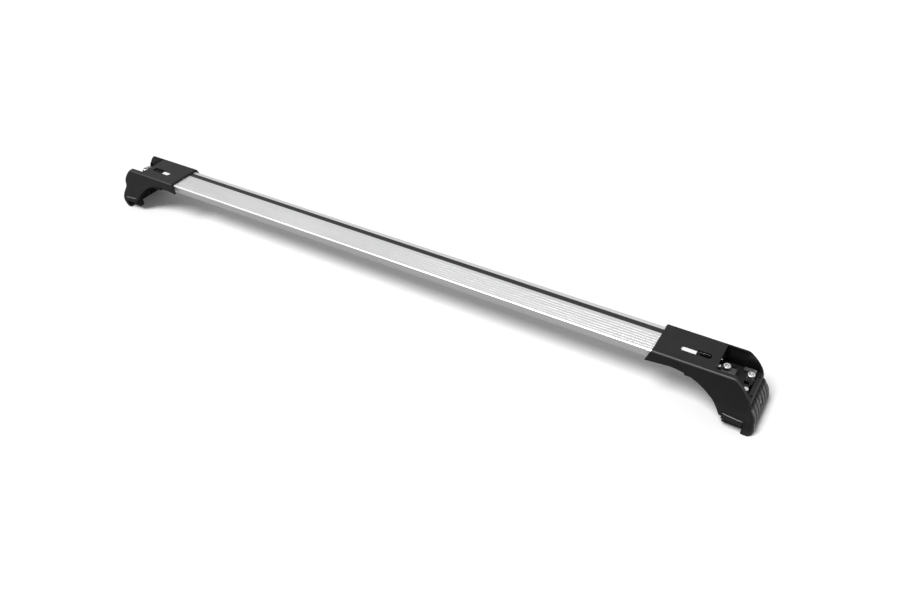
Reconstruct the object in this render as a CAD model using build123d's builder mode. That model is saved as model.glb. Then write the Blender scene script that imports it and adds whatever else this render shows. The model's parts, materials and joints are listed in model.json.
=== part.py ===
from build123d import *
import os

# A roof rack crossbar: one aluminium bar that lies across a car's roof, with a
# moulded foot on each end. Each foot wraps the bar as a sleeve, arches down to
# a rubber pad that sits on the roof rail, and hooks over the rail's outer side.
# X runs along the bar, Y along the car, Z up. The floor under the feet is
# Z = 0 and the middle of the bar is X = Y = 0. The foot is modelled at the +X
# end and mirrored for the other one. Millimetres.

# Overall driving dimensions
overall_length = 1200.0
foot_height = 82.0
bar_length = 1007.2
bar_width = 56.0
bar_height = 22.0
slide_gap = 0.3

# Foot moulding, depths measured down from its flat top
plate = 3.0
wall = 3.0
sleeve_top_x = 452.2
sleeve_low_x = 445.0
sleeve_depth = 17.0
arch_radius = 86.0
arch_x = 478.5
arch_depth = 14.3
seat_in_depth = 59.0
jaw_x = 587.0
seat_out_depth = 62.0
jaw_lip = 2.5
bend_x = 563.5
rim_crest = (587.0, 32.0)
rim_bulge = (578.8, 15.2)
ridge_radius = 3.2
bend_radius = 8.0
corner_radius = 7.0

# The foot's plan at some depths: depth, half width inboard, half width outboard
flare = (
    (0.0, 31.0, 31.0),
    (20.0, 34.9, 33.0),
    (37.5, 38.8, 35.3),
    (52.0, 41.3, 39.2),
    (64.0, 42.5, 41.8),
    (75.0, 41.8, 40.2),
    (86.0, 39.8, 37.4),
)

# Pocket, window and tub of the foot
pocket_x = 535.3
pocket_near_y = -23.3
pocket_far_y = 27.5
end_wall_x = 580.5
end_wall_depth = 29.0
end_open_half = 28.5
tub_x = 532.0
tub_depth = 56.0
tub_rib_y = 23.0
window_x = 503.6
window_y = -5.5
window_length = 40.8
window_width = 10.2
window_corner = 3.5
rim_hole_x = 584.2
rim_hole_y = 19.5
rim_hole_r = 1.6
rim_hole_depth = 40.0

# Crowned cover plate on the jaw's outer face
crown_radius = 63.5
crown_depth = 74.0
cover_thick = 3.8
cover_proud = 0.8
cover_top = 38.5
cover_low = 71.0
cover_top_half = 31.0
cover_low_half = 34.5
cover_gap = 0.2
groove = 1.0
flute_pitch = 9.5
flute_width = 3.4
flute_depth = 0.9
flute_count = 6
cover_screw_depth = 51.5
cover_web = 1.5
cover_head = 1.6

# Rubber pads on the rail seat, one under each side, joined by a thin web
pad_depth = 75.0
pad_half = 36.0
pad_open_half = 27.0
pad_web = 2.0
pad_leg = 2.0
pad_in_x = 557.0
pad_groove = 1.2
pad_groove_z = (17.5, 12.5)
pad_groove_high = 1.6

# Steel bracket that carries the load inside the foot
sheet = 3.0
tongue_in_x = 448.0
tongue_half = 12.0
wide_x = 498.0
rib_x = 533.0
bracket_half = 24.5
bracket_end_x = 579.5
claw_hole_x = 550.0
claw_hole_y = 16.0
claw_hole_r = 3.3
floor_hole_r = 4.5
hook_hole = (7.0, 6.0)
hook_hole_at = (572.4, -2.2)
end_notch = (2.0, 12.0)
end_notch_y = -9.0

# Fasteners
m6_r = 3.0
m6_clear_r = 3.3
m6_head_r = 5.0
m6_head = 6.0
m6_low_head = 4.0
m6_socket = 5.0
thread_gap = 0.05
slot_bolt_x = (457.5, 474.5)
block_bolt = (544.1, 0.0)
block_screw_end = 38.0
strike_bolt = (574.2, 10.0)
strike_nut = 5.0
bracket_screw_at = (575.0, -15.0)
tapping_r = 2.0
pan_head_r = 3.6
pan_head = 2.4
pin_at = (536.2, -9.5)
pin_r = 2.25
pin_top_depth = 5.6

# Block and strike plate in the pocket
block_size = (22.0, 12.0)
block_center_x = 546.0
block_depth = 16.0
strike_sheet = 1.8
strike_tongue = (9.0, 12.0)
strike_step_y = 15.6
strike_ledge_x = (563.0, 578.5)
strike_ledge_y = 21.6
strike_ledge_depth = 21.5

# Bar section
bar_wall = 1.8
web = 1.6
shoulder = 3.0
flank = 5.0
keel_half = 14.0
keel_bulge = (25.0, 6.5)
web_y = 8.0
tee_y = 15.5
tee_mouth = 9.0
tee_wide = 15.0
tee_high = 5.5
keel_mouth = 8.2
keel_wide = 14.0
keel_high = 5.2
rib_pitch = 5.0
rib_count = 6
rib_first_y = -22.0
rib_width = 0.9
rib_depth = 0.2

# Levels and places that follow from the dimensions above
top = foot_height
foot_end = overall_length / 2
bar_top = top - plate - slide_gap
bar_bottom = bar_top - bar_height
bracket_top = bar_bottom - slide_gap
bracket_bottom = bracket_top - sheet
arch_center_z = top - arch_depth - arch_radius
plan_in_x = sleeve_low_x - 8
crown_x = foot_end - crown_radius
shell_radius = crown_radius - cover_proud
recess_radius = crown_radius - cover_thick
rim_low = cover_top - groove
seat_in_x = arch_x + (arch_radius**2 - (top - seat_in_depth - arch_center_z) ** 2) ** 0.5
seat_slope = (seat_out_depth - seat_in_depth) / (jaw_x - seat_in_x)
pad_in_top = top - seat_in_depth - seat_slope * (pad_in_x - seat_in_x)


def arch_z(x, radius):
    """Height at x of a curve about the arch's centre, under or over the moulding."""
    return arch_center_z + (radius**2 - (x - arch_x) ** 2) ** 0.5


def crown_at(depth, radius):
    """X at a depth of a curve about the centre of the jaw's crowned outer face."""
    return crown_x + (radius**2 - (crown_depth - depth) ** 2) ** 0.5


def plan_corners(depth, half_in, half_out, inset):
    """Corners of the foot's flared plan at a depth, drawn in by inset."""
    end_x = crown_at(max(depth, rim_low), shell_radius)
    return (
        (plan_in_x, inset - half_in),
        (end_x, inset - half_out),
        (end_x, half_out - inset),
        (plan_in_x, half_in - inset),
    )


def crowned_plate(outer_radius, start, gap):
    """Plate let into the crowned outer face, from depth start down, drawn in by gap."""
    depths = (start, (start + cover_low) / 2, cover_low - gap)
    inner = [(crown_at(d, recess_radius), top - d) for d in depths]
    outer = [(crown_at(d, outer_radius), top - d) for d in depths]
    with BuildPart() as plate_block:
        with BuildSketch(Plane.XZ):
            with BuildLine():
                ThreePointArc(*inner)
                ThreePointArc(*outer)
                Line(inner[0], outer[0])
                Line(inner[2], outer[2])
            make_face()
        extrude(amount=cover_low_half, both=True)
        with BuildSketch(Plane.YZ.offset(bend_x)):
            with BuildLine():
                Polyline(
                    (gap - cover_top_half, top - rim_low),
                    (gap - cover_low_half, top - cover_low),
                    (cover_low_half - gap, top - cover_low),
                    (cover_top_half - gap, top - rim_low),
                    close=True,
                )
            make_face()
        extrude(amount=foot_end - bend_x + 5, mode=Mode.INTERSECT)
    return plate_block.part


cover_recess = crowned_plate(crown_radius + 4, rim_low, 0)
cover_blank = crowned_plate(crown_radius, cover_top, cover_gap)

# The cover's screw stands square to the crowned face: Y along the car, then up it
screw_rise = (crown_depth - cover_screw_depth) / shell_radius
screw_plane = Plane(
    origin=(crown_at(cover_screw_depth, shell_radius), 0, top - cover_screw_depth),
    x_dir=(0, 1, 0),
    z_dir=((1 - screw_rise**2) ** 0.5, 0, screw_rise),
)


# Space inside the foot: open under the sleeve, a tub outboard of the bar
with BuildPart() as foot_hollow:
    for depth, half_in, half_out in flare:
        with BuildSketch(Plane.XY.offset(top - depth)):
            with BuildLine():
                Polyline(*plan_corners(depth, half_in, half_out, wall), close=True)
            make_face()
    loft(ruled=True)
    with BuildSketch(Plane.XZ):
        with BuildLine():
            tub_floor = ThreePointArc(
                (tub_x, arch_z(tub_x, arch_radius + wall)),
                (543.0, arch_z(543.0, arch_radius + wall)),
                (553.0, arch_z(553.0, arch_radius + wall)),
            )
            Polyline(
                tub_floor @ 1,
                (556.5, top - tub_depth),
                (end_wall_x, top - tub_depth),
                (end_wall_x, top - plate),
                (plan_in_x, top - plate),
                (plan_in_x, 0),
                (tub_x, 0),
                tub_floor @ 0,
            )
        make_face()
    extrude(amount=60, both=True, mode=Mode.INTERSECT)


with BuildPart() as foot_shell:
    # Flared body lofted through its plans, then cut to the side outline
    for level in (flare[:3], flare[2:]):
        for depth, half_in, half_out in level:
            with BuildSketch(Plane.XY.offset(top - depth)) as plan:
                with BuildLine():
                    Polyline(*plan_corners(depth, half_in, half_out, 0), close=True)
                make_face()
                fillet(plan.vertices().group_by(Axis.X)[-1], radius=corner_radius)
        loft()
    with BuildSketch(Plane.XZ) as outline:
        with BuildLine():
            arch = ThreePointArc(
                (arch_x, arch_z(arch_x, arch_radius)),
                (522.7, arch_z(522.7, arch_radius)),
                (seat_in_x, top - seat_in_depth),
            )
            Polyline(
                arch @ 1,
                (jaw_x, top - seat_out_depth),
                (jaw_x, 5.5),
                (jaw_x - jaw_lip, 3.8),
                (jaw_x - jaw_lip, 1.6),
                (jaw_x + 1.5, 0),
                (foot_end - 7.5, 0),
            )
            tip = ThreePointArc(
                (foot_end - 7.5, 0), (foot_end - 3.2, 1.6), (foot_end - 1.0, 5.6)
            )
            slope = ThreePointArc(
                (bend_x, top),
                (rim_bulge[0], top - rim_bulge[1]),
                (rim_crest[0], top - rim_crest[1]),
            )
            run_out = PolarLine(slope @ 1, 20, direction=slope % 1)
            Polyline(run_out @ 1, (foot_end + 5, 25), tip @ 1)
            Polyline(
                slope @ 0,
                (sleeve_top_x, top),
                (sleeve_low_x, top - sleeve_depth),
                arch @ 0,
            )
        make_face()
        bend = outline.vertices().group_by(Axis.Y)[-1].sort_by(Axis.X)[-1]
        fillet(bend, radius=bend_radius)
    extrude(amount=60, both=True, mode=Mode.INTERSECT)

    # One soft ridge along the flat top, down the slanted rim and round its crest
    ridges = foot_shell.edges().filter_by(
        lambda e: e.center().Z > top - 1
        and abs(e.center().Y) > 27
        or e.center().Z > top - rim_low
        and e.center().X > bend_x + 10
    )
    fillet(ridges, radius=ridge_radius)

    add(foot_hollow.part, mode=Mode.SUBTRACT)

    # Pocket mouth: a lip stays along the near side, up to the bend
    with BuildSketch(Plane.XY.offset(top + 1)):
        with Locations((pocket_x, (pocket_near_y + pocket_far_y) / 2)):
            Rectangle(60, pocket_far_y - pocket_near_y, align=(Align.MIN, Align.CENTER))
        with Locations((bend_x, 0)):
            Rectangle(end_wall_x - bend_x, 56, align=(Align.MIN, Align.CENTER))
    extrude(amount=-(plate + 1.2), mode=Mode.SUBTRACT)

    # The end wall stays low between the side walls
    with BuildSketch(Plane.XY.offset(top - end_wall_depth)):
        with Locations((end_wall_x - 1, 0)):
            Rectangle(
                foot_end - end_wall_x, 2 * end_open_half, align=(Align.MIN, Align.CENTER)
            )
    extrude(amount=end_wall_depth, mode=Mode.SUBTRACT)

    # Window through which the end of the bar shows
    with BuildSketch(Plane.XY.offset(top)):
        with Locations((window_x, window_y)):
            RectangleRounded(window_length, window_width, window_corner)
    extrude(amount=-plate, mode=Mode.SUBTRACT)

    # Two long ribs carry the bracket above the tub's floor
    for rib_y in (-tub_rib_y, tub_rib_y):
        with BuildSketch(Plane.XZ.offset(-rib_y)):
            with BuildLine():
                rib_foot = ThreePointArc(
                    (rib_x, arch_z(rib_x, arch_radius + 1)),
                    (543.0, arch_z(543.0, arch_radius + 1)),
                    (553.0, arch_z(553.0, arch_radius + 1)),
                )
                Polyline(
                    rib_foot @ 1,
                    (556.5, top - tub_depth - 1),
                    (end_wall_x + 1, top - tub_depth - 1),
                    (end_wall_x + 1, bracket_bottom),
                    (rib_x, bracket_bottom),
                    rib_foot @ 0,
                )
            make_face()
        extrude(amount=wall / 2, both=True)

    # Pillars under the block's screw and the bracket's screw
    with BuildSketch(Plane.XY.offset(bracket_bottom)):
        with Locations(block_bolt):
            Circle(5.5)
    extrude(amount=-(bracket_bottom - arch_z(block_bolt[0], arch_radius + 1)))
    with BuildSketch(Plane.XY.offset(bracket_bottom)):
        with Locations(bracket_screw_at):
            Circle(4.0)
    extrude(amount=-(bracket_bottom - (top - tub_depth - 1)))
    with Locations((*block_bolt, bracket_bottom)):
        Hole(radius=m6_r + thread_gap, depth=10)
    with Locations((*bracket_screw_at, bracket_bottom)):
        Hole(radius=tapping_r + thread_gap, depth=9)

    # Holes in the tub's floor for the bolts of a rail claw
    with Locations((claw_hole_x, 0, bracket_bottom - 12)):
        with GridLocations(0, 2 * claw_hole_y, 1, 2):
            Hole(radius=floor_hole_r, depth=20)

    # Recess for the cover plate, with its screw hole, and two holes in the rim
    add(cover_recess, mode=Mode.SUBTRACT)
    with Locations(screw_plane):
        Hole(radius=tapping_r + thread_gap, depth=11)
    with Locations((rim_hole_x, 0, top)):
        with GridLocations(0, 2 * rim_hole_y, 1, 2):
            Hole(radius=rim_hole_r, depth=rim_hole_depth)


# One flute of the cover: a band just under its crowned face
with BuildPart() as flute:
    with BuildSketch(Plane.XZ):
        with Locations((crown_x, top - crown_depth)):
            Circle(crown_radius + 5)
            Circle(crown_radius - flute_depth, mode=Mode.SUBTRACT)
    extrude(amount=flute_width / 2, both=True)


# Fluted cover plate let into the jaw's outer face
with BuildPart() as end_cover:
    add(cover_blank)
    crown_face = end_cover.faces().filter_by(GeomType.CYLINDER).sort_by(Axis.X)[-1]
    fillet(crown_face.edges(), radius=0.8)
    with GridLocations(1, flute_pitch, 1, flute_count):
        add(flute.part, mode=Mode.SUBTRACT)
    with BuildSketch(screw_plane.offset(cover_proud)):
        Circle(pan_head_r + 1.6)
    extrude(amount=-cover_proud)
    with Locations(screw_plane.offset(cover_proud)):
        CounterBoreHole(
            radius=tapping_r + 0.2,
            counter_bore_radius=pan_head_r + 0.4,
            counter_bore_depth=cover_thick - cover_web,
            depth=cover_thick + 1,
        )


# Pan-head screw of the cover, driven square to the crowned face
head_seat = screw_plane.offset(cover_proud + cover_web - cover_thick)
with BuildPart() as cover_screw:
    with BuildSketch(head_seat):
        Circle(pan_head_r)
    extrude(amount=cover_head)
    chamfer(cover_screw.edges().sort_by(Axis.X)[-1], length=0.5)
    with BuildSketch(head_seat):
        Circle(tapping_r)
    extrude(amount=-7)
    with BuildSketch(head_seat.offset(cover_head)):
        RegularPolygon(1.5, 6, major_radius=False)
    extrude(amount=-1.0, mode=Mode.SUBTRACT)


# Rubber pad: a block under each side, a thin web and a thin leg down the jaw.
# A rail claw comes in between the blocks.
with BuildPart() as rail_pad:
    with BuildSketch(Plane.XZ):
        with BuildLine():
            Polyline(
                (pad_in_x, pad_in_top),
                (jaw_x, top - seat_out_depth),
                (jaw_x, 5.8),
                (jaw_x - pad_leg, 5.8),
                (jaw_x - pad_leg, top - pad_depth),
                (pad_in_x + 1, top - pad_depth),
                close=True,
            )
        make_face()
    extrude(amount=pad_half, both=True)
    with BuildSketch(Plane.XZ):
        with BuildLine():
            Polyline(
                (pad_in_x - 1, pad_in_top - pad_web),
                (jaw_x - pad_leg, top - seat_out_depth - pad_web),
                (jaw_x - pad_leg, 0),
                (pad_in_x - 1, 0),
                close=True,
            )
        make_face()
    extrude(amount=pad_open_half, both=True, mode=Mode.SUBTRACT)
    with BuildSketch(Plane.XZ):
        with Locations(*[(pad_in_x, z) for z in pad_groove_z]):
            Rectangle(2 * pad_groove, pad_groove_high)
    extrude(amount=pad_half, both=True, mode=Mode.SUBTRACT)
    for side in (-1, 1):
        with BuildSketch(Plane.XZ.offset(side * pad_half)):
            with Locations(*[(pad_in_x, z) for z in pad_groove_z]):
                Rectangle(60, pad_groove_high)
        extrude(amount=-side * pad_groove, mode=Mode.SUBTRACT)


# Pressed steel bracket: a tongue under the bar and a wide base in the tub
with BuildPart() as foot_bracket:
    with BuildSketch(Plane.XY.offset(bracket_top)):
        with BuildLine():
            Polyline(
                (tongue_in_x, -tongue_half),
                (wide_x - 6, -tongue_half),
                (wide_x, -bracket_half),
                (bracket_end_x, -bracket_half),
                (bracket_end_x, bracket_half),
                (wide_x, bracket_half),
                (wide_x - 6, tongue_half),
                (tongue_in_x, tongue_half),
                close=True,
            )
        make_face()
    extrude(amount=-sheet)
    tongue_corners = foot_bracket.edges().filter_by(Axis.Z).group_by(Axis.X)[0]
    fillet(tongue_corners, radius=5)
    with BuildSketch(Plane.XY.offset(bracket_top)):
        with Locations((slot_bolt_x[0], 0), (slot_bolt_x[1], 0), block_bolt, strike_bolt):
            Circle(m6_clear_r)
        with Locations((claw_hole_x, claw_hole_y), (claw_hole_x, -claw_hole_y)):
            Circle(claw_hole_r)
        with Locations(bracket_screw_at):
            Circle(tapping_r + 0.2)
        with Locations(pin_at):
            Circle(1.5 + thread_gap)
        with Locations(hook_hole_at):
            Rectangle(*hook_hole)
        with Locations((bracket_end_x, end_notch_y)):
            Rectangle(*end_notch, align=(Align.MAX, Align.CENTER))
    extrude(amount=-sheet, mode=Mode.SUBTRACT)


def cap_screw(x, y, seat_z, end_z, head):
    """Socket-head screw with its head on seat_z, standing on a vertical axis."""
    down = 1 if seat_z > end_z else -1
    with BuildPart() as screw:
        with BuildSketch(Plane.XY.offset(seat_z)):
            with Locations((x, y)):
                Circle(m6_head_r)
        extrude(amount=down * head)
        head_face = screw.faces().filter_by(Axis.Z).sort_by(Axis.Z)[-1 if down > 0 else 0]
        chamfer(head_face.edges(), length=0.6)
        with BuildSketch(Plane.XY.offset(seat_z)):
            with Locations((x, y)):
                Circle(m6_r)
        extrude(amount=end_z - seat_z)
        with BuildSketch(Plane.XY.offset(seat_z + down * head)):
            with Locations((x, y)):
                RegularPolygon(m6_socket / 2, 6, major_radius=False)
        extrude(amount=-down * head * 0.55, mode=Mode.SUBTRACT)
    return screw.part


# Clamp block under the head of its screw, on the bracket's base
with BuildPart() as clamp_block:
    with BuildSketch(Plane.XY.offset(bracket_top)):
        with Locations((block_center_x, 0)):
            Rectangle(*block_size)
    extrude(amount=top - block_depth - bracket_top)
    fillet(clamp_block.edges().filter_by(Axis.Z), radius=1.5)
    chamfer(clamp_block.faces().sort_by(Axis.Z)[-1].edges(), length=0.8)
    with Locations((*block_bolt, top - block_depth)):
        Hole(radius=m6_clear_r, depth=top - block_depth - bracket_top)

block_screw = cap_screw(*block_bolt, top - block_depth, top - block_screw_end, m6_head)


# Bent strike plate: a tongue under its screw, a step and a raised ledge
strike_base_top = bracket_top + strike_sheet
strike_high = top - strike_ledge_depth
with BuildPart() as strike_plate:
    with BuildSketch(Plane.YZ.offset(strike_bolt[0])):
        with BuildLine():
            Polyline(
                (strike_step_y + strike_sheet - strike_tongue[1], bracket_top),
                (strike_step_y + strike_sheet, bracket_top),
                (strike_step_y + strike_sheet, strike_high - strike_sheet),
                (strike_ledge_y, strike_high - strike_sheet),
                (strike_ledge_y, strike_high),
                (strike_step_y, strike_high),
                (strike_step_y, strike_base_top),
                (strike_step_y + strike_sheet - strike_tongue[1], strike_base_top),
                close=True,
            )
        make_face()
    extrude(amount=strike_tongue[0] / 2, both=True)
    with BuildSketch(Plane.XY.offset(strike_high)):
        with Locations((strike_ledge_x[0], strike_step_y)):
            Rectangle(
                strike_ledge_x[1] - strike_ledge_x[0],
                strike_ledge_y - strike_step_y,
                align=(Align.MIN, Align.MIN),
            )
    extrude(amount=-strike_sheet)
    ledge_corners = strike_plate.edges().filter_by(Axis.Z).group_by(Axis.Y)[-1]
    fillet(ledge_corners, radius=1.5)
    with Locations((*strike_bolt, strike_base_top)):
        Hole(radius=m6_clear_r, depth=strike_sheet)

strike_screw = cap_screw(
    *strike_bolt, strike_base_top, bracket_bottom - strike_nut, m6_low_head
)

with BuildPart() as strike_nut_part:
    with BuildSketch(Plane.XY.offset(bracket_bottom)):
        with Locations(strike_bolt):
            RegularPolygon(5, 6, major_radius=False)
            Circle(m6_r + thread_gap, mode=Mode.SUBTRACT)
    extrude(amount=-strike_nut)


# Tapping screw that holds the bracket down on its pillar
with BuildPart() as bracket_screw:
    with BuildSketch(Plane.XY.offset(bracket_top)):
        with Locations(bracket_screw_at):
            Circle(pan_head_r)
    extrude(amount=pan_head)
    fillet(bracket_screw.edges().sort_by(Axis.Z)[-1], radius=1.2)
    with BuildSketch(Plane.XY.offset(bracket_top)):
        with Locations(bracket_screw_at):
            Circle(tapping_r)
    extrude(amount=-(sheet + 8))


# Stop pin that the bar's end would meet
with BuildPart() as stop_pin:
    with BuildSketch(Plane.XY.offset(bracket_top)):
        with Locations(pin_at):
            Circle(pin_r)
    extrude(amount=top - pin_top_depth - bracket_top)
    chamfer(stop_pin.edges().sort_by(Axis.Z)[-1], length=0.5)
    with BuildSketch(Plane.XY.offset(bracket_top)):
        with Locations(pin_at):
            Circle(1.5)
    extrude(amount=-sheet)


# Two T nuts in the channel under the bar, and the screws that draw them down
nut_low_z = bar_bottom + bar_wall + slide_gap
nut_top_z = nut_low_z + keel_high - 2 * slide_gap
with BuildPart() as slot_nuts:
    with BuildSketch(Plane.XY.offset(nut_low_z)):
        with Locations(*[(x, 0) for x in slot_bolt_x]):
            Rectangle(13, keel_wide - 2 * slide_gap)
    extrude(amount=nut_top_z - nut_low_z)
    with BuildSketch(Plane.XY.offset(nut_low_z)):
        with Locations(*[(x, 0) for x in slot_bolt_x]):
            Rectangle(13, keel_mouth - 2 * slide_gap)
    extrude(amount=-bar_wall)
    with BuildSketch(Plane.XY.offset(nut_top_z)):
        with Locations(*[(x, 0) for x in slot_bolt_x]):
            Circle(m6_r + thread_gap)
    extrude(amount=-10, mode=Mode.SUBTRACT)

slot_screws = Compound(
    children=[cap_screw(x, 0, bracket_bottom, nut_top_z, m6_low_head) for x in slot_bolt_x]
)


# Extruded bar: flat ribbed top, keeled underside, a T slot above and one below
with BuildPart() as bar_profile:
    with BuildSketch(Plane.YZ) as section:
        half = bar_width / 2
        with BuildLine():
            left_shoulder = RadiusArc(
                (-half, bar_top - shoulder), (shoulder - half, bar_top), shoulder
            )
            right_shoulder = RadiusArc(
                (half - shoulder, bar_top), (half, bar_top - shoulder), shoulder
            )
            Line(left_shoulder @ 1, right_shoulder @ 0)
            Line(right_shoulder @ 1, (half, bar_top - flank))
            ThreePointArc(
                (half, bar_top - flank),
                (keel_bulge[0], bar_bottom + keel_bulge[1]),
                (keel_half, bar_bottom),
            )
            Line((keel_half, bar_bottom), (-keel_half, bar_bottom))
            ThreePointArc(
                (-keel_half, bar_bottom),
                (-keel_bulge[0], bar_bottom + keel_bulge[1]),
                (-half, bar_top - flank),
            )
            Line((-half, bar_top - flank), left_shoulder @ 0)
        make_face()
        offset(amount=-bar_wall, mode=Mode.SUBTRACT)
        for y in (-web_y, web_y):
            with Locations((y, bar_bottom + bar_height / 2)):
                Rectangle(web, bar_height - bar_wall)
        with Locations((tee_y, bar_top)):
            Rectangle(
                tee_wide + 2 * web, tee_high + bar_wall + web, align=(Align.CENTER, Align.MAX)
            )
        with Locations((0, bar_bottom)):
            Rectangle(
                keel_wide + 2 * web, keel_high + bar_wall + web, align=(Align.CENTER, Align.MIN)
            )
        with Locations((tee_y, bar_top - bar_wall)):
            Rectangle(
                tee_wide, tee_high, align=(Align.CENTER, Align.MAX), mode=Mode.SUBTRACT
            )
        with Locations((tee_y, bar_top)):
            Rectangle(
                tee_mouth, 2 * bar_wall, align=(Align.CENTER, Align.MAX), mode=Mode.SUBTRACT
            )
        with Locations((0, bar_bottom + bar_wall)):
            Rectangle(
                keel_wide, keel_high, align=(Align.CENTER, Align.MIN), mode=Mode.SUBTRACT
            )
        with Locations((0, bar_bottom)):
            Rectangle(
                keel_mouth, 2 * bar_wall, align=(Align.CENTER, Align.MIN), mode=Mode.SUBTRACT
            )
        with Locations(*[(rib_first_y + i * rib_pitch, bar_top) for i in range(rib_count)]):
            Rectangle(rib_width, 2 * rib_depth, mode=Mode.SUBTRACT)
    extrude(amount=bar_length / 2, both=True)


# Rubber strip pressed into the upper T slot
with BuildPart() as slot_strip:
    with BuildSketch(Plane.YZ):
        with Locations((tee_y, bar_top)):
            Rectangle(tee_mouth, bar_wall, align=(Align.CENTER, Align.MAX))
        with Locations((tee_y, bar_top - bar_wall)):
            Rectangle(tee_mouth + 3, 1.6, align=(Align.CENTER, Align.MAX))
        with Locations((tee_y, bar_top)):
            with GridLocations(3.0, 0, 2, 1):
                Rectangle(0.8, 0.8, mode=Mode.SUBTRACT)
    extrude(amount=bar_length / 2, both=True)


# Write the bar's two pieces, and each foot piece as made and mirrored
os.makedirs("parts", exist_ok=True)
bar_pieces = {"bar_profile": bar_profile.part, "slot_strip": slot_strip.part}
foot_pieces = {
    "foot_shell": foot_shell.part,
    "end_cover": end_cover.part,
    "cover_screw": cover_screw.part,
    "rail_pad": rail_pad.part,
    "foot_bracket": foot_bracket.part,
    "clamp_block": clamp_block.part,
    "block_screw": block_screw,
    "strike_plate": strike_plate.part,
    "strike_screw": strike_screw,
    "strike_nut": strike_nut_part.part,
    "bracket_screw": bracket_screw.part,
    "stop_pin": stop_pin.part,
    "slot_nuts": slot_nuts.part,
    "slot_screws": slot_screws,
}
for name, piece in bar_pieces.items():
    piece.label = name
    export_step(piece, f"parts/{name}.step")
for name, piece in foot_pieces.items():
    for side, placed in (("right", piece), ("left", mirror(piece, about=Plane.YZ))):
        placed.label = f"{side}_{name}"
        export_step(placed, f"parts/{side}_{name}.step")
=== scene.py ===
# %% [markdown]
# A roof rack crossbar, dressed for its picture
#
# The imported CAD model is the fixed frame: an aluminium bar along X with a
# black moulded foot at each end, and every CAD part keeps its shape. This
# script gives each part a material made from nodes, dresses the rubber pads,
# adds the small repeated detail that the solids leave out, and sets up the
# camera, floor and light.
# Everything is in metres, with the floor at Z = 0.

import bmesh
import bpy
import json
from math import cos, pi, radians, sin
from mathutils import Matrix, Vector
from mathutils.bvhtree import BVHTree


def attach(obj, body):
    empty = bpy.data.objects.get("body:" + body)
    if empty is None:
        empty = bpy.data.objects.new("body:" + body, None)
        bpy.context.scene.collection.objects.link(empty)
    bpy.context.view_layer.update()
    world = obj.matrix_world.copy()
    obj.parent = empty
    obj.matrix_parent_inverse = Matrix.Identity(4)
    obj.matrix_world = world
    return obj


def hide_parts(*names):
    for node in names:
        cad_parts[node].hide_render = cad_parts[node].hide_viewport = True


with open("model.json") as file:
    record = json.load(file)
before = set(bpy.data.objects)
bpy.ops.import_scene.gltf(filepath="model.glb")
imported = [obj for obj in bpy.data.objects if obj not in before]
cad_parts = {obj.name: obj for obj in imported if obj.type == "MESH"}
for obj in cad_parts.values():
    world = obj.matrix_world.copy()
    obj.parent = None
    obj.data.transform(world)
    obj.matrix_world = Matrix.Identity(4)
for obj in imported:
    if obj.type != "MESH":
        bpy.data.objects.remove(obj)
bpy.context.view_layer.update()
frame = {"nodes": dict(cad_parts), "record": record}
nodes = frame["nodes"]

# %% [markdown]
# Camera. Its direction, height and roll were solved from the bar's edges in
# the photograph. Azimuth 0 looks along +Y, and the image is 920 x 613.

# %% Camera
VIEW_AZIMUTH = radians(33.653)
VIEW_ELEVATION = radians(39.448)
VIEW_ROLL = radians(-3.168)
VIEW_PLACE = Vector((0.66890, -0.80260, 0.80180))
VIEW_LENS = 31.26
SENSOR_WIDTH = 36

right = Vector((cos(VIEW_AZIMUTH), sin(VIEW_AZIMUTH), 0))
back = Vector(
    (
        sin(VIEW_AZIMUTH) * cos(VIEW_ELEVATION),
        -cos(VIEW_AZIMUTH) * cos(VIEW_ELEVATION),
        sin(VIEW_ELEVATION),
    )
)
above = back.cross(right)
rolled_right = cos(VIEW_ROLL) * right + sin(VIEW_ROLL) * above
rolled_above = -sin(VIEW_ROLL) * right + cos(VIEW_ROLL) * above
camera = bpy.data.objects.new("camera", bpy.data.cameras.new("camera"))
camera.data.lens = VIEW_LENS
camera.data.sensor_width = SENSOR_WIDTH
camera.matrix_world = Matrix.Translation(VIEW_PLACE) @ Matrix(
    (rolled_right, rolled_above, back)
).transposed().to_4x4()
bpy.context.scene.collection.objects.link(camera)
bpy.context.scene.camera = camera
print("camera at", [round(v, 3) for v in VIEW_PLACE])

# %% [markdown]
# Materials. A small class keeps the node wiring short: it makes nodes, links
# them and reads Object coordinates, so that patterns stay on the parts when
# they move. A grain's size and depth are in millimetres. The masks further
# down are pairs of start and end values, and places in them are in metres.


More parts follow.
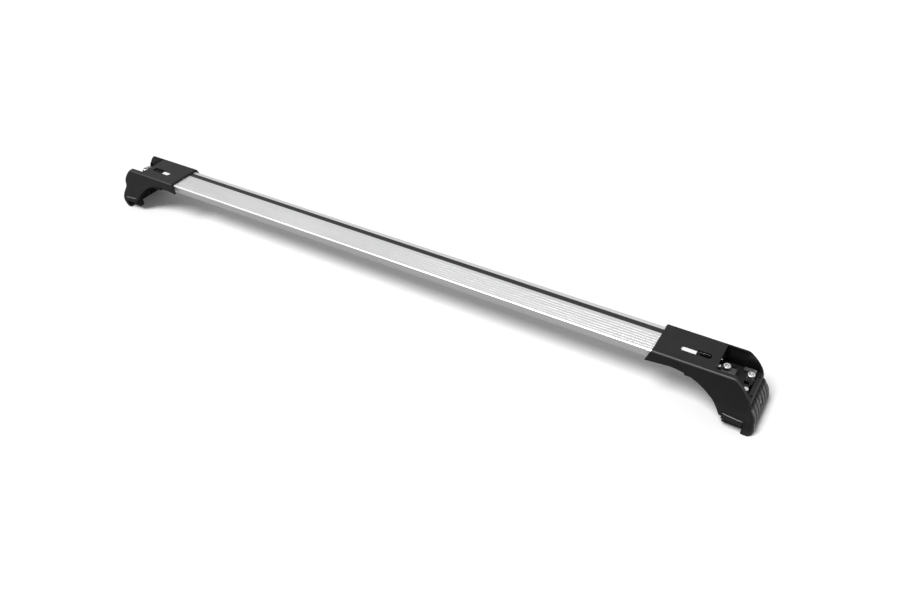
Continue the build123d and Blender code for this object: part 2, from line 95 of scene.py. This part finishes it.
# %% Node helper
class Surface:
    """A principled material, with helpers that add pattern nodes to it."""

    def __init__(self, name, color, roughness, metallic=0.0, specular=0.5):
        self.material = bpy.data.materials.new(name)
        self.material.use_nodes = True
        self.tree = self.material.node_tree
        self.shader = self.tree.nodes["Principled BSDF"]
        self.shader.inputs["Base Color"].default_value = (*color, 1)
        self.shader.inputs["Roughness"].default_value = roughness
        self.shader.inputs["Metallic"].default_value = metallic
        self.shader.inputs["Specular IOR Level"].default_value = specular
        self.coords = self.tree.nodes.new("ShaderNodeTexCoord")

    def node(self, kind, inputs=(), **settings):
        """A node with its settings made and each input linked or set."""
        made = self.tree.nodes.new("ShaderNode" + kind)
        for key, value in settings.items():
            setattr(made, key, value)
        for key, value in dict(inputs).items():
            if isinstance(value, bpy.types.NodeSocket):
                self.tree.links.new(value, made.inputs[key])
            else:
                made.inputs[key].default_value = value
        return made

    def math(self, operation, a, b=0.0):
        return self.node("Math", {0: a, 1: b}, operation=operation).outputs[0]

    def product(self, *values):
        """All the values multiplied together."""
        total = values[0]
        for value in values[1:]:
            total = self.math("MULTIPLY", total, value)
        return total

    def axes(self, kind):
        """X, Y and Z of the place (Object) or of the face's direction (Normal)."""
        return self.node("SeparateXYZ", {0: self.coords.outputs[kind]}).outputs

    def noise(self, size_mm, stretch=(1, 1, 1), detail=3.0):
        """Noise about size_mm across, drawn out along each axis by stretch."""
        scale = [1000 / (size_mm * s) for s in stretch]
        place = self.node(
            "Mapping", {"Vector": self.coords.outputs["Object"], "Scale": scale}
        )
        grain = self.node(
            "TexNoise", {"Vector": place.outputs[0], "Scale": 1.0, "Detail": detail}
        )
        return grain.outputs["Fac"]

    def spread(self, value, low, high, start=0.3, end=0.7):
        """low up to start, high from end on, and an even change between them."""
        ramp = self.node(
            "MapRange",
            {
                "Value": value,
                "From Min": start,
                "From Max": end,
                "To Min": low,
                "To Max": high,
            },
        )
        return ramp.outputs[0]

    def color(self, value, dark, light):
        """Base colour running from dark to light with value."""
        mix = self.node("Mix", data_type="RGBA")
        self.tree.links.new(value, mix.inputs["Factor"])
        mix.inputs["A"].default_value = (*dark, 1)
        mix.inputs["B"].default_value = (*light, 1)
        self.tree.links.new(mix.outputs["Result"], self.shader.inputs["Base Color"])

    def roughness(self, value):
        self.tree.links.new(value, self.shader.inputs["Roughness"])

    def metallic(self, value):
        self.tree.links.new(value, self.shader.inputs["Metallic"])

    def bump(self, height, strength, depth_mm):
        made = self.node(
            "Bump", {"Height": height, "Strength": strength, "Distance": depth_mm / 1000}
        )
        self.tree.links.new(made.outputs[0], self.shader.inputs["Normal"])


# %% [markdown]
# Bar materials. The bar is drawn aluminium: satin, with fine lines along X from
# the die and slow changes in sheen. Noise drawn out 600 times along X gives the
# lines. Each end is matte white instead of metal, so that it shows pale through
# the foot's sight window. The rubber of the strip is matte with a short grain.

# %% Bar materials
WHITE_END_X = (0.4800, 0.4803)


def drawn_aluminium():
    s = Surface("drawn_aluminium", (0.80, 0.80, 0.81), 0.40, metallic=1.0)
    lines = s.noise(0.8, stretch=(600, 1, 1))
    cloud = s.noise(60, stretch=(3, 1, 1))
    painted = s.spread(s.math("ABSOLUTE", s.axes("Object")["X"]), 0, 1, *WHITE_END_X)
    tone = s.math("MAXIMUM", s.spread(lines, 0, 0.6), painted)
    s.color(tone, (0.82, 0.82, 0.83), (0.96, 0.96, 0.96))
    s.metallic(s.spread(painted, 1, 0, start=0, end=1))
    s.roughness(s.spread(cloud, 0.36, 0.46))
    s.bump(lines, 0.10, 0.01)
    return s.material


def strip_rubber():
    s = Surface("strip_rubber", (0.020, 0.020, 0.021), 0.6)
    grain = s.noise(0.8, stretch=(6, 1, 1))
    s.color(s.spread(grain, 0, 1), (0.014, 0.014, 0.015), (0.028, 0.028, 0.029))
    s.roughness(s.spread(grain, 0.5, 0.7))
    s.bump(grain, 0.3, 0.05)
    return s.material


# %% [markdown]
# Foot plastic. The feet are black mouldings with a fine spark-eroded grain. A
# painted highlight makes them paler on the rounded ridges along their sides and
# on the crest above the end cover, where the light catches them. A face is on a
# ridge when it looks both sideways and up, so the smaller of the two parts of
# its direction makes the mask, and a limit in height keeps it off the jaw.

# %% Foot plastic
# Where the painted highlight lies on the ridges and on the crest.
RIDGE_TURN = (0.22, 0.50)
RIDGE_FADE_Z = (0.0435, 0.0480)
CREST_X = (0.5860, 0.5865)
CREST_Z = (0.0480, 0.0490)


def ridge_highlight(s):
    """Painted highlight mask: 1 on the ridges along the sides and on the crest, else 0.
    """
    facing, place = s.axes("Normal"), s.axes("Object")
    both = s.math("MINIMUM", s.math("ABSOLUTE", facing["Y"]), facing["Z"])
    ridge = s.product(
        s.spread(both, 0, 1, *RIDGE_TURN), s.spread(place["Z"], 0, 1, *RIDGE_FADE_Z)
    )
    outboard = s.spread(s.math("ABSOLUTE", place["X"]), 0, 1, *CREST_X)
    crest = s.product(outboard, s.spread(place["Z"], 0, 1, *CREST_Z))
    return s.math("MAXIMUM", ridge, crest)


def moulded_plastic():
    s = Surface("moulded_plastic", (0.007, 0.007, 0.0074), 0.42, specular=0.34)
    grain = s.noise(0.35, detail=2)
    cloud = s.noise(25)
    # Random cloud in the tone, plus the painted highlight on the ridges and crest.
    tone = s.math("MAXIMUM", s.spread(cloud, 0, 0.12), ridge_highlight(s))
    s.color(tone, (0.005, 0.005, 0.0053), (0.050, 0.050, 0.052))
    s.roughness(s.spread(grain, 0.38, 0.48))
    s.bump(grain, 0.25, 0.02)
    return s.material


# %% [markdown]
# Cover plastic. The end cover is a drier, greyer plastic. Painted shade darkens
# its flutes, a ring round its screw and a band under the rim above it. A painted
# highlight makes its raised bands and its side edges pale, and painted light
# from the floor makes them paler toward the bottom. The flutes stand at one
# pitch across Y, so the fraction left after dividing by the pitch finds them.

# %% Cover plastic
FLUTE_PITCH = 0.0095
# Where the painted shade and the painted light lie on the cover.
FLUTE_SHADE_EDGE = (0.16, 0.24)
RIM_SHADE_Z = (0.0401, 0.0409)
SCREW_PLACE = (0, 0, 0.0304)
SCREW_SHADE_RING = (0.0044, 0.0050)
COVER_FLOOR_LIGHT_Z = (0.014, 0.041)
COVER_EDGE_HIGHLIGHT_Y = (0.0328, 0.0333)


def cover_plastic():
    s = Surface("cover_plastic", (0.075, 0.075, 0.078), 0.55)
    grain = s.noise(0.4, detail=2)
    streak = s.noise(3, stretch=(1, 1, 8))
    place = s.axes("Object")
    part = s.math("FRACT", s.math("DIVIDE", place["Y"], FLUTE_PITCH))
    from_flute = s.math("ABSOLUTE", s.math("SUBTRACT", part, 0.5))
    face_on = s.node(
        "VectorMath", {0: s.coords.outputs["Object"], 1: (0, 1, 1)}, operation="MULTIPLY"
    )
    from_screw = s.node(
        "VectorMath", {0: face_on.outputs[0], 1: SCREW_PLACE}, operation="DISTANCE"
    )
    # Painted shade in the flutes, round the screw and under the rim, and painted light
    # from the floor growing toward the bottom.
    bands = s.product(
        s.spread(from_flute, 0.15, 1, *FLUTE_SHADE_EDGE),
        s.spread(from_screw.outputs["Value"], 0, 1, *SCREW_SHADE_RING),
        s.spread(place["Z"], 1, 0, *RIM_SHADE_Z),
        s.spread(place["Z"], 0.75, 0.38, *COVER_FLOOR_LIGHT_Z),
    )
    # Painted highlight along the side edges.
    edges = s.spread(s.math("ABSOLUTE", place["Y"]), 0, 1, *COVER_EDGE_HIGHLIGHT_Y)
    tone = s.product(s.math("MAXIMUM", bands, edges), s.spread(streak, 0.8, 1))
    s.color(tone, (0.010, 0.010, 0.011), (0.480, 0.480, 0.490))
    s.roughness(s.spread(grain, 0.48, 0.62))
    s.bump(grain, 0.35, 0.03)
    return s.material


# %% [markdown]
# Pads and metal parts. The pads are matte rubber, with a painted highlight where
# a face looks up.
# Screws and small plates are zinc plated, with a painted highlight on the faces
# that look up and painted shade on the sides that only see the pocket. Inner
# metal parts are duller, and the bracket has a black coating with a slight
# orange peel.

# %% Pad and metal materials
# Painted highlight on up-facing faces: first for the pads, then for the zinc.
PAD_HIGHLIGHT_UP = (0.30, 0.60)
ZINC_HIGHLIGHT_UP = (0.15, 0.34)


def pad_rubber():
    s = Surface("pad_rubber", (0.012, 0.012, 0.012), 0.75, specular=0.3)
    grain = s.noise(0.6)
    # Painted highlight on the faces that look up.
    top_highlight = s.spread(s.axes("Normal")["Z"], 0, 1, *PAD_HIGHLIGHT_UP)
    tone = s.math("MAXIMUM", s.spread(grain, 0, 0.03), top_highlight)
    s.color(tone, (0.008, 0.008, 0.008), (0.200, 0.200, 0.198))
    s.roughness(s.spread(grain, 0.66, 0.84))
    s.bump(grain, 0.4, 0.06)
    return s.material


def zinc_plate():
    s = Surface("zinc_plate", (0.80, 0.80, 0.79), 0.26, metallic=1.0)
    cloud = s.noise(4)
    # Painted highlight on the faces that look up, painted shade on the sides.
    bright = s.spread(s.axes("Normal")["Z"], 0, 1, *ZINC_HIGHLIGHT_UP)
    tone = s.product(bright, s.spread(cloud, 0.85, 1))
    s.color(tone, (0.22, 0.22, 0.22), (0.92, 0.92, 0.91))
    s.roughness(s.spread(cloud, 0.20, 0.34))
    s.bump(s.noise(0.25, detail=2), 0.15, 0.01)
    return s.material


def dull_zinc():
    s = Surface("dull_zinc", (0.30, 0.30, 0.30), 0.42, metallic=1.0)
    cloud = s.noise(3)
    s.color(s.spread(cloud, 0, 1), (0.24, 0.24, 0.24), (0.36, 0.36, 0.36))
    s.roughness(s.spread(cloud, 0.36, 0.50))
    s.bump(s.noise(0.3, detail=2), 0.2, 0.01)
    return s.material


def dark_steel():
    s = Surface("dark_steel", (0.045, 0.045, 0.047), 0.45)
    cloud = s.noise(2.5)
    s.color(s.spread(cloud, 0, 1), (0.036, 0.036, 0.038), (0.055, 0.055, 0.057))
    s.roughness(s.spread(cloud, 0.38, 0.54))
    s.bump(s.noise(0.3, detail=2), 0.2, 0.02)
    return s.material


def coated_steel():
    s = Surface("coated_steel", (0.010, 0.010, 0.011), 0.45, specular=0.3)
    peel = s.noise(1.6, detail=2)
    s.color(s.spread(peel, 0, 1), (0.007, 0.007, 0.008), (0.012, 0.012, 0.013))
    s.roughness(s.spread(peel, 0.40, 0.54))
    s.bump(peel, 0.25, 0.03)
    return s.material


# %% [markdown]
# The record names a material slot for every CAD node. Each slot has a maker
# above, so one loop gives every part of the CAD its finish.

# %% Materials onto the CAD parts
makers = {
    "bar_aluminium": drawn_aluminium,
    "strip_rubber": strip_rubber,
    "foot_plastic": moulded_plastic,
    "cover_plastic": cover_plastic,
    "pad_rubber": pad_rubber,
    "coated_steel": coated_steel,
    "dark_steel": dark_steel,
    "dull_zinc": dull_zinc,
    "zinc_steel": zinc_plate,
}
materials = {slot: make() for slot, make in makers.items()}
for entry in frame["record"]["subparts"]:
    mesh = nodes[entry["node"]].data
    mesh.materials.clear()
    mesh.materials.append(materials[entry["material_slot"]])
print("materials:", ", ".join(m.name for m in materials.values()))

# %% [markdown]
# Helpers for the pieces made here. A piece keeps its place in its mesh, rides
# on the foot it belongs to and takes a material slot of the record. Lengths
# below are in millimetres on the +X foot, and the other foot is its mirror.


# %% Piece helpers
MM = 0.001
SIDES = {"right": 1, "left": -1}


def new_piece(name, mesh, side, slot):
    piece = bpy.data.objects.new(name, mesh)
    bpy.context.scene.collection.objects.link(piece)
    mesh.materials.clear()
    mesh.materials.append(materials[slot])
    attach(piece, f"{side}_foot")
    return piece


def finish_mesh(shape, name):
    """Merge, point the faces outwards, and write the bmesh to a new mesh."""
    bmesh.ops.remove_doubles(shape, verts=shape.verts, dist=1e-6)
    bmesh.ops.recalc_face_normals(shape, faces=shape.faces)
    mesh = bpy.data.meshes.new(name)
    shape.to_mesh(mesh)
    shape.free()
    return mesh


def bake(name, start_mesh, tree, values):
    """Run a geometry node tree on a mesh and return the plain mesh it makes."""
    carrier = bpy.data.objects.new(name, start_mesh)
    bpy.context.scene.collection.objects.link(carrier)
    modifier = carrier.modifiers.new("nodes", "NODES")
    modifier.node_group = tree
    for item in tree.interface.items_tree:
        if item.name in values:
            modifier[item.identifier] = values[item.name]
    seen = carrier.evaluated_get(bpy.context.evaluated_depsgraph_get())
    mesh = bpy.data.meshes.new_from_object(seen)
    mesh.name = name
    bpy.data.objects.remove(carrier)
    return mesh


class Tree:
    """A geometry node tree with named inputs and a short way to add nodes."""

    def __init__(self, name, inputs):
        self.tree = bpy.data.node_groups.new(name, "GeometryNodeTree")
        face = self.tree.interface
        face.new_socket("Geometry", in_out="INPUT", socket_type="NodeSocketGeometry")
        for label, kind in inputs.items():
            face.new_socket(label, in_out="INPUT", socket_type="NodeSocket" + kind)
        face.new_socket("Geometry", in_out="OUTPUT", socket_type="NodeSocketGeometry")
        self.inputs = self.tree.nodes.new("NodeGroupInput").outputs

    def node(self, kind, inputs=(), **settings):
        made = self.tree.nodes.new(kind)
        for key, value in settings.items():
            setattr(made, key, value)
        for key, value in dict(inputs).items():
            if isinstance(value, bpy.types.NodeSocket):
                self.tree.links.new(value, made.inputs[key])
            else:
                made.inputs[key].default_value = value
        return made.outputs

    def math(self, operation, a, b=0.0):
        return self.node("ShaderNodeMath", {0: a, 1: b}, operation=operation)[0]

    def end(self, geometry, material):
        """Make the instances real, give them the material and close the tree."""
        real = self.node("GeometryNodeRealizeInstances", {0: geometry})[0]
        done = self.node("GeometryNodeSetMaterial", {0: real, "Material": material})[0]
        self.tree.links.new(done, self.tree.nodes.new("NodeGroupOutput").inputs[0])
        return self.tree


print("helpers ready for", ", ".join(SIDES))

# %% [markdown]
# Rail pads. On the real foot the pad is moulded rubber with soft edges, ribs
# under it and a lip that wraps up over the foot's lower edge. The pad's body is
# a merged copy of the CAD solid with its edges rounded, because its place is
# fixed by the rail. The CAD mesh comes as loose triangles, so it is welded and
# its flat faces are joined first, and only the sharp edges left are bevelled.
# Its sole is drawn up a little to leave room for the ribs.

# %% Pad body
PAD_SOLE = 7.0
SOLE_LIFT = 0.8
PAD_ROUND = 0.7
ROUND_STEPS = 3
SHARP = radians(30)
FLAT = radians(1)
WELD = 1e-5
ON_SOLE = 1e-4


def pad_body(side):
    shape = bmesh.new()
    shape.from_mesh(nodes[f"{side}_rail_pad"].data)
    bmesh.ops.remove_doubles(shape, verts=shape.verts, dist=WELD)
    for vert in shape.verts:
        if abs(vert.co.z - PAD_SOLE * MM) < ON_SOLE:
            vert.co.z += SOLE_LIFT * MM
    bmesh.ops.dissolve_limit(
        shape, angle_limit=FLAT, verts=shape.verts, edges=shape.edges
    )
    edges = [e for e in shape.edges if e.is_manifold and e.calc_face_angle(0) > SHARP]
    bmesh.ops.bevel(
        shape,
        geom=edges,
        offset=PAD_ROUND * MM,
        segments=ROUND_STEPS,
        profile=0.5,
        affect="EDGES",
        clamp_overlap=True,
    )
    bmesh.ops.triangulate(shape, faces=shape.faces)
    return finish_mesh(shape, f"{side}_pad_body")


for side in SIDES:
    body = new_piece(f"{side}_pad_body", pad_body(side), side, "pad_rubber")
    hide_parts(f"{side}_rail_pad")
    print(body.name, len(body.data.polygons), "faces")

# %% [markdown]
# The ribs under the pads repeat, so Geometry Nodes lay them: a grid of points
# with one row under each block of the pad, and a short round bar, sunk into the
# rubber, on every point. The bars' lowest line is the CAD's sole, where the rail
# is, so the dressed pad still stands on the rail.

# %% Pad ribs
RIB_FIRST_X = 560.0
RIB_PITCH = 3.4
RIB_COUNT = 7
RIB_ROW_Y = 31.5
RIB_LENGTH = 7.4
RIB_RADIUS = 0.95
RIB_SIDES = 12


def rib_tree():
    g = Tree(
        "pad_ribs",
        {
            "Count": "Int",
            "Pitch": "Float",
            "Rows Apart": "Float",
            "Length": "Float",
            "Radius": "Float",
            "Centre": "Vector",
        },
    )
    gaps = g.math("SUBTRACT", g.inputs["Count"], 1.0)
    run = g.math("MULTIPLY", gaps, g.inputs["Pitch"])
    grid = g.node(
        "GeometryNodeMeshGrid",
        {
            "Size X": run,
            "Size Y": g.inputs["Rows Apart"],
            "Vertices X": g.inputs["Count"],
            "Vertices Y": 2,
        },
    )[0]
    placed = g.node(
        "GeometryNodeTransform", {"Geometry": grid, "Translation": g.inputs["Centre"]}
    )[0]
    half = g.math("MULTIPLY", g.inputs["Length"], 0.5)
    start = g.node("ShaderNodeCombineXYZ", {"Y": g.math("MULTIPLY", half, -1.0)})[0]
    end = g.node("ShaderNodeCombineXYZ", {"Y": half})[0]
    line = g.node("GeometryNodeCurvePrimitiveLine", {"Start": start, "End": end})[0]
    ring = g.node(
        "GeometryNodeCurvePrimitiveCircle",
        {"Resolution": RIB_SIDES, "Radius": g.inputs["Radius"]},
    )[0]
    rib = g.node(
        "GeometryNodeCurveToMesh",
        {"Curve": line, "Profile Curve": ring, "Fill Caps": True},
    )[0]
    ribs = g.node("GeometryNodeInstanceOnPoints", {"Points": placed, "Instance": rib})[0]
    return g.end(ribs, materials["pad_rubber"])


rib_nodes = rib_tree()
for side, sign in SIDES.items():
    middle_x = RIB_FIRST_X + RIB_PITCH * (RIB_COUNT - 1) / 2
    ribs = bake(
        f"{side}_pad_ribs",
        bpy.data.meshes.new("start"),
        rib_nodes,
        {
            "Count": RIB_COUNT,
            "Pitch": RIB_PITCH * MM,
            "Rows Apart": 2 * RIB_ROW_Y * MM,
            "Length": RIB_LENGTH * MM,
            "Radius": RIB_RADIUS * MM,
            "Centre": (sign * middle_x * MM, 0, (PAD_SOLE + RIB_RADIUS) * MM),
        },
    )
    piece = new_piece(f"{side}_pad_ribs", ribs, side, "pad_rubber")
    print(piece.name, len(ribs.polygons), "faces")

# %% [markdown]
# The lip of the pad follows the foot's flared side wall, so its place is read
# from the wall: a ray at each step finds the wall's face, and a small profile
# with a bead along its top is swept along those points. The profile's points
# are (up from the lip's top, out from the wall), and it swells at both ends.

# %% Pad lips
LIP_RUN = (557.2, 584.6)
LIP_STEPS = 28
LIP_TOP = (27.6, 25.1)
LIP_SWELL = 6
WALL_PROBE_Z = (25.0, 29.0)
PROBE_FROM_Y = 0.06
LIP_PROFILE = (
    (0.0, -0.5),
    (0.1, 0.3),
    (-0.1, 0.9),
    (-0.6, 1.2),
    (-1.2, 1.1),
    (-1.6, 0.7),
    (-2.0, 0.5),
    (-4.0, 0.5),
    (-6.0, 0.5),
    (-7.6, 0.45),
    (-8.2, 0.1),
    (-8.3, -0.5),
)


def wall_y(tree, x, z, way):
    """Distance of the side wall's outer face from the middle, at x and z."""
    hit = tree.ray_cast(Vector((x, way * PROBE_FROM_Y, z)), Vector((0, -way, 0)))[0]
    return abs(hit.y)


def pad_lip(side, sign):
    tree = BVHTree.FromObject(
        nodes[f"{side}_foot_shell"], bpy.context.evaluated_depsgraph_get()
    )
    shape = bmesh.new()
    for way in (-1, 1):
        rings = []
        for step in range(LIP_STEPS + 1):
            t = step / LIP_STEPS
            x = sign * (LIP_RUN[0] + t * (LIP_RUN[1] - LIP_RUN[0])) * MM
            low, high = (wall_y(tree, x, z * MM, way) for z in WALL_PROBE_Z)
            lean = (high - low) / ((WALL_PROBE_Z[1] - WALL_PROBE_Z[0]) * MM)
            top = LIP_TOP[0] + t * (LIP_TOP[1] - LIP_TOP[0])
            swell = min(1.0, LIP_SWELL * t, LIP_SWELL * (1 - t)) ** 0.5
            ring = []
            for down, out in LIP_PROFILE:
                z = (top + down) * MM
                y = low + lean * (z - WALL_PROBE_Z[0] * MM)
                out = out * swell if out > 0 else out
                ring.append(shape.verts.new((x, way * (y + out * MM), z)))
            rings.append(ring)
        count = len(LIP_PROFILE)
        for a, b in zip(rings, rings[1:]):
            for i in range(count):
                j = (i + 1) % count
                shape.faces.new((a[i], a[j], b[j], b[i]))
        shape.faces.new(rings[0])
        shape.faces.new(rings[-1])
    return finish_mesh(shape, f"{side}_pad_lip")


for side, sign in SIDES.items():
    lip = new_piece(f"{side}_pad_lip", pad_lip(side, sign), side, "pad_rubber")
    lip.data.shade_smooth()
    print(lip.name, len(lip.data.polygons), "faces")

# %% [markdown]
# Knurled screw heads. A socket-head screw has a straight knurl rolled round its
# head for grip. Every head gets the same ring of small ridges, so one tree
# makes a ring and sets it on a point at each head, stretched to the head's
# height that is stored on the point. HEADS gives each head's middle and height.

# %% Screw knurls
HEAD_RADIUS = 5.0
KNURL_RIDGES = 30
KNURL_SIZE = 0.34
KNURL_SIDES = 4
HEADS = (
    ((544.1, 0.0, 68.4), 4.2),
    ((574.2, 10.0, 59.8), 2.6),
    ((457.5, 0.0, 51.8), 2.6),
    ((474.5, 0.0, 51.8), 2.6),
)


def knurl_tree():
    g = Tree(
        "screw_knurls",
        {"Ridges": "Int", "Head Radius": "Float", "Ridge Size": "Float"},
    )
    ring = g.node(
        "GeometryNodeMeshCircle",
        {"Vertices": g.inputs["Ridges"], "Radius": g.inputs["Head Radius"]},
    )[0]
    step = g.math("DIVIDE", 2 * pi, g.inputs["Ridges"])
    turn = g.math("MULTIPLY", g.node("GeometryNodeInputIndex")[0], step)
    facing = g.node("ShaderNodeCombineXYZ", {"Z": turn})[0]
    ridge = g.node(
        "GeometryNodeMeshCylinder",
        {"Vertices": KNURL_SIDES, "Radius": g.inputs["Ridge Size"], "Depth": 1.0},
    )[0]
    knurl = g.node(
        "GeometryNodeInstanceOnPoints",
        {
            "Points": ring,
            "Instance": ridge,
            "Rotation": g.node("FunctionNodeEulerToRotation", {0: facing})[0],
        },
    )[0]
    height = g.node(
        "GeometryNodeInputNamedAttribute", {"Name": "height"}, data_type="FLOAT"
    )[0]
    size = g.node("ShaderNodeCombineXYZ", {"X": 1.0, "Y": 1.0, "Z": height})[0]
    heads = g.node(
        "GeometryNodeInstanceOnPoints",
        {"Points": g.inputs["Geometry"], "Instance": knurl, "Scale": size},
    )[0]
    return g.end(heads, materials["dull_zinc"])


knurl_nodes = knurl_tree()
for side, sign in SIDES.items():
    start = bpy.data.meshes.new("heads")
    middles = [(sign * x * MM, y * MM, z * MM) for (x, y, z), _ in HEADS]
    start.from_pydata(middles, [], [])
    heights = start.attributes.new("height", "FLOAT", "POINT")
    heights.data.foreach_set("value", [high * MM for _, high in HEADS])
    knurls = bake(
        f"{side}_screw_knurls",
        start,
        knurl_nodes,
        {
            "Ridges": KNURL_RIDGES,
            "Head Radius": HEAD_RADIUS * MM,
            "Ridge Size": KNURL_SIZE * MM,
        },
    )
    piece = new_piece(f"{side}_screw_knurls", knurls, side, "dull_zinc")
    print(piece.name, len(knurls.polygons), "faces")

# %% [markdown]
# Key light and floor. One broad sun from high on the near side gives the soft
# shadow behind the bar. The floor is pale: the camera sees it near white with a
# little glow, while other rays meet it as grey, so that it doesn't flood the
# black feet from below.

# %% Key light and floor
KEY_FROM = Vector((-0.20, -0.52, 0.92))
KEY_STRENGTH = 3.0
KEY_SPREAD = radians(24)
FLOOR_HALF = 6.0
FLOOR_DARK = (0.30, 0.30, 0.30)
FLOOR_PALE = (0.95, 0.95, 0.95)
FLOOR_GLOW = 0.06
FLOOR_IN_GLOSS = 0.12

key = bpy.data.objects.new("key_light", bpy.data.lights.new("key_light", "SUN"))
key.data.energy = KEY_STRENGTH
key.data.angle = KEY_SPREAD
key.rotation_euler = (-KEY_FROM).to_track_quat("-Z", "Y").to_euler()
bpy.context.scene.collection.objects.link(key)

corners = [
    (x * FLOOR_HALF, y * FLOOR_HALF, 0) for x, y in ((-1, -1), (1, -1), (1, 1), (-1, 1))
]
floor_mesh = bpy.data.meshes.new("floor")
floor_mesh.from_pydata(corners, [], [(0, 1, 2, 3)])
floor = bpy.data.objects.new("floor", floor_mesh)
bpy.context.scene.collection.objects.link(floor)

pale = Surface("floor_white", FLOOR_PALE, 0.9, specular=0.0)
rays = pale.node("LightPath").outputs
in_gloss = pale.math("MULTIPLY", rays["Is Glossy Ray"], FLOOR_IN_GLOSS)
pale.color(pale.math("ADD", rays["Is Camera Ray"], in_gloss), FLOOR_DARK, FLOOR_PALE)
pale.shader.inputs["Emission Color"].default_value = (1, 1, 1, 1)
glow = pale.math("MULTIPLY", rays["Is Camera Ray"], FLOOR_GLOW)
pale.tree.links.new(glow, pale.shader.inputs["Emission Strength"])
floor_mesh.materials.append(pale.material)
print("floor:", 2 * FLOOR_HALF, "m wide, 1 lamp")

# %% [markdown]
# Sky. It is white where the camera sees it and dim as a fill light. In
# reflections it is brighter overhead than near the horizon, which sets the sheen
# along the bar. Each kind of ray gets its own white by a mix on the light path.

# %% Sky
SKY_FILL = 0.24
SKY_IN_GLOSS = {"From Min": 0.36, "From Max": 0.66, "To Min": 0.52, "To Max": 0.78}

world = bpy.data.worlds.new("studio")
bpy.context.scene.world = world
world.use_nodes = True
sky = world.node_tree
fill = sky.nodes["Background"]
fill.inputs["Color"].default_value = (1, 1, 1, 1)
fill.inputs["Strength"].default_value = SKY_FILL
sky_rays = sky.nodes.new("ShaderNodeLightPath").outputs

height = sky.nodes.new("ShaderNodeSeparateXYZ")
sky.links.new(sky.nodes.new("ShaderNodeTexCoord").outputs["Generated"], height.inputs[0])
gloss = sky.nodes.new("ShaderNodeMapRange")
for label, value in SKY_IN_GLOSS.items():
    gloss.inputs[label].default_value = value
sky.links.new(height.outputs["Z"], gloss.inputs["Value"])


def white_for(ray, otherwise):
    """A white sky for one kind of ray: its background node and the mix's output."""
    white = sky.nodes.new("ShaderNodeBackground")
    white.inputs["Color"].default_value = (1, 1, 1, 1)
    mix = sky.nodes.new("ShaderNodeMixShader")
    sky.links.new(sky_rays[ray], mix.inputs[0])
    sky.links.new(otherwise, mix.inputs[1])
    sky.links.new(white.outputs[0], mix.inputs[2])
    return white, mix.outputs[0]


mirrored, shown = white_for("Is Glossy Ray", fill.outputs[0])
sky.links.new(gloss.outputs[0], mirrored.inputs["Strength"])
for ray in ("Is Transmission Ray", "Is Camera Ray"):
    shown = white_for(ray, shown)[1]
sky.links.new(shown, sky.nodes["World Output"].inputs["Surface"])
bpy.context.scene.view_settings.view_transform = "Standard"
print("sky: white, fill", SKY_FILL)
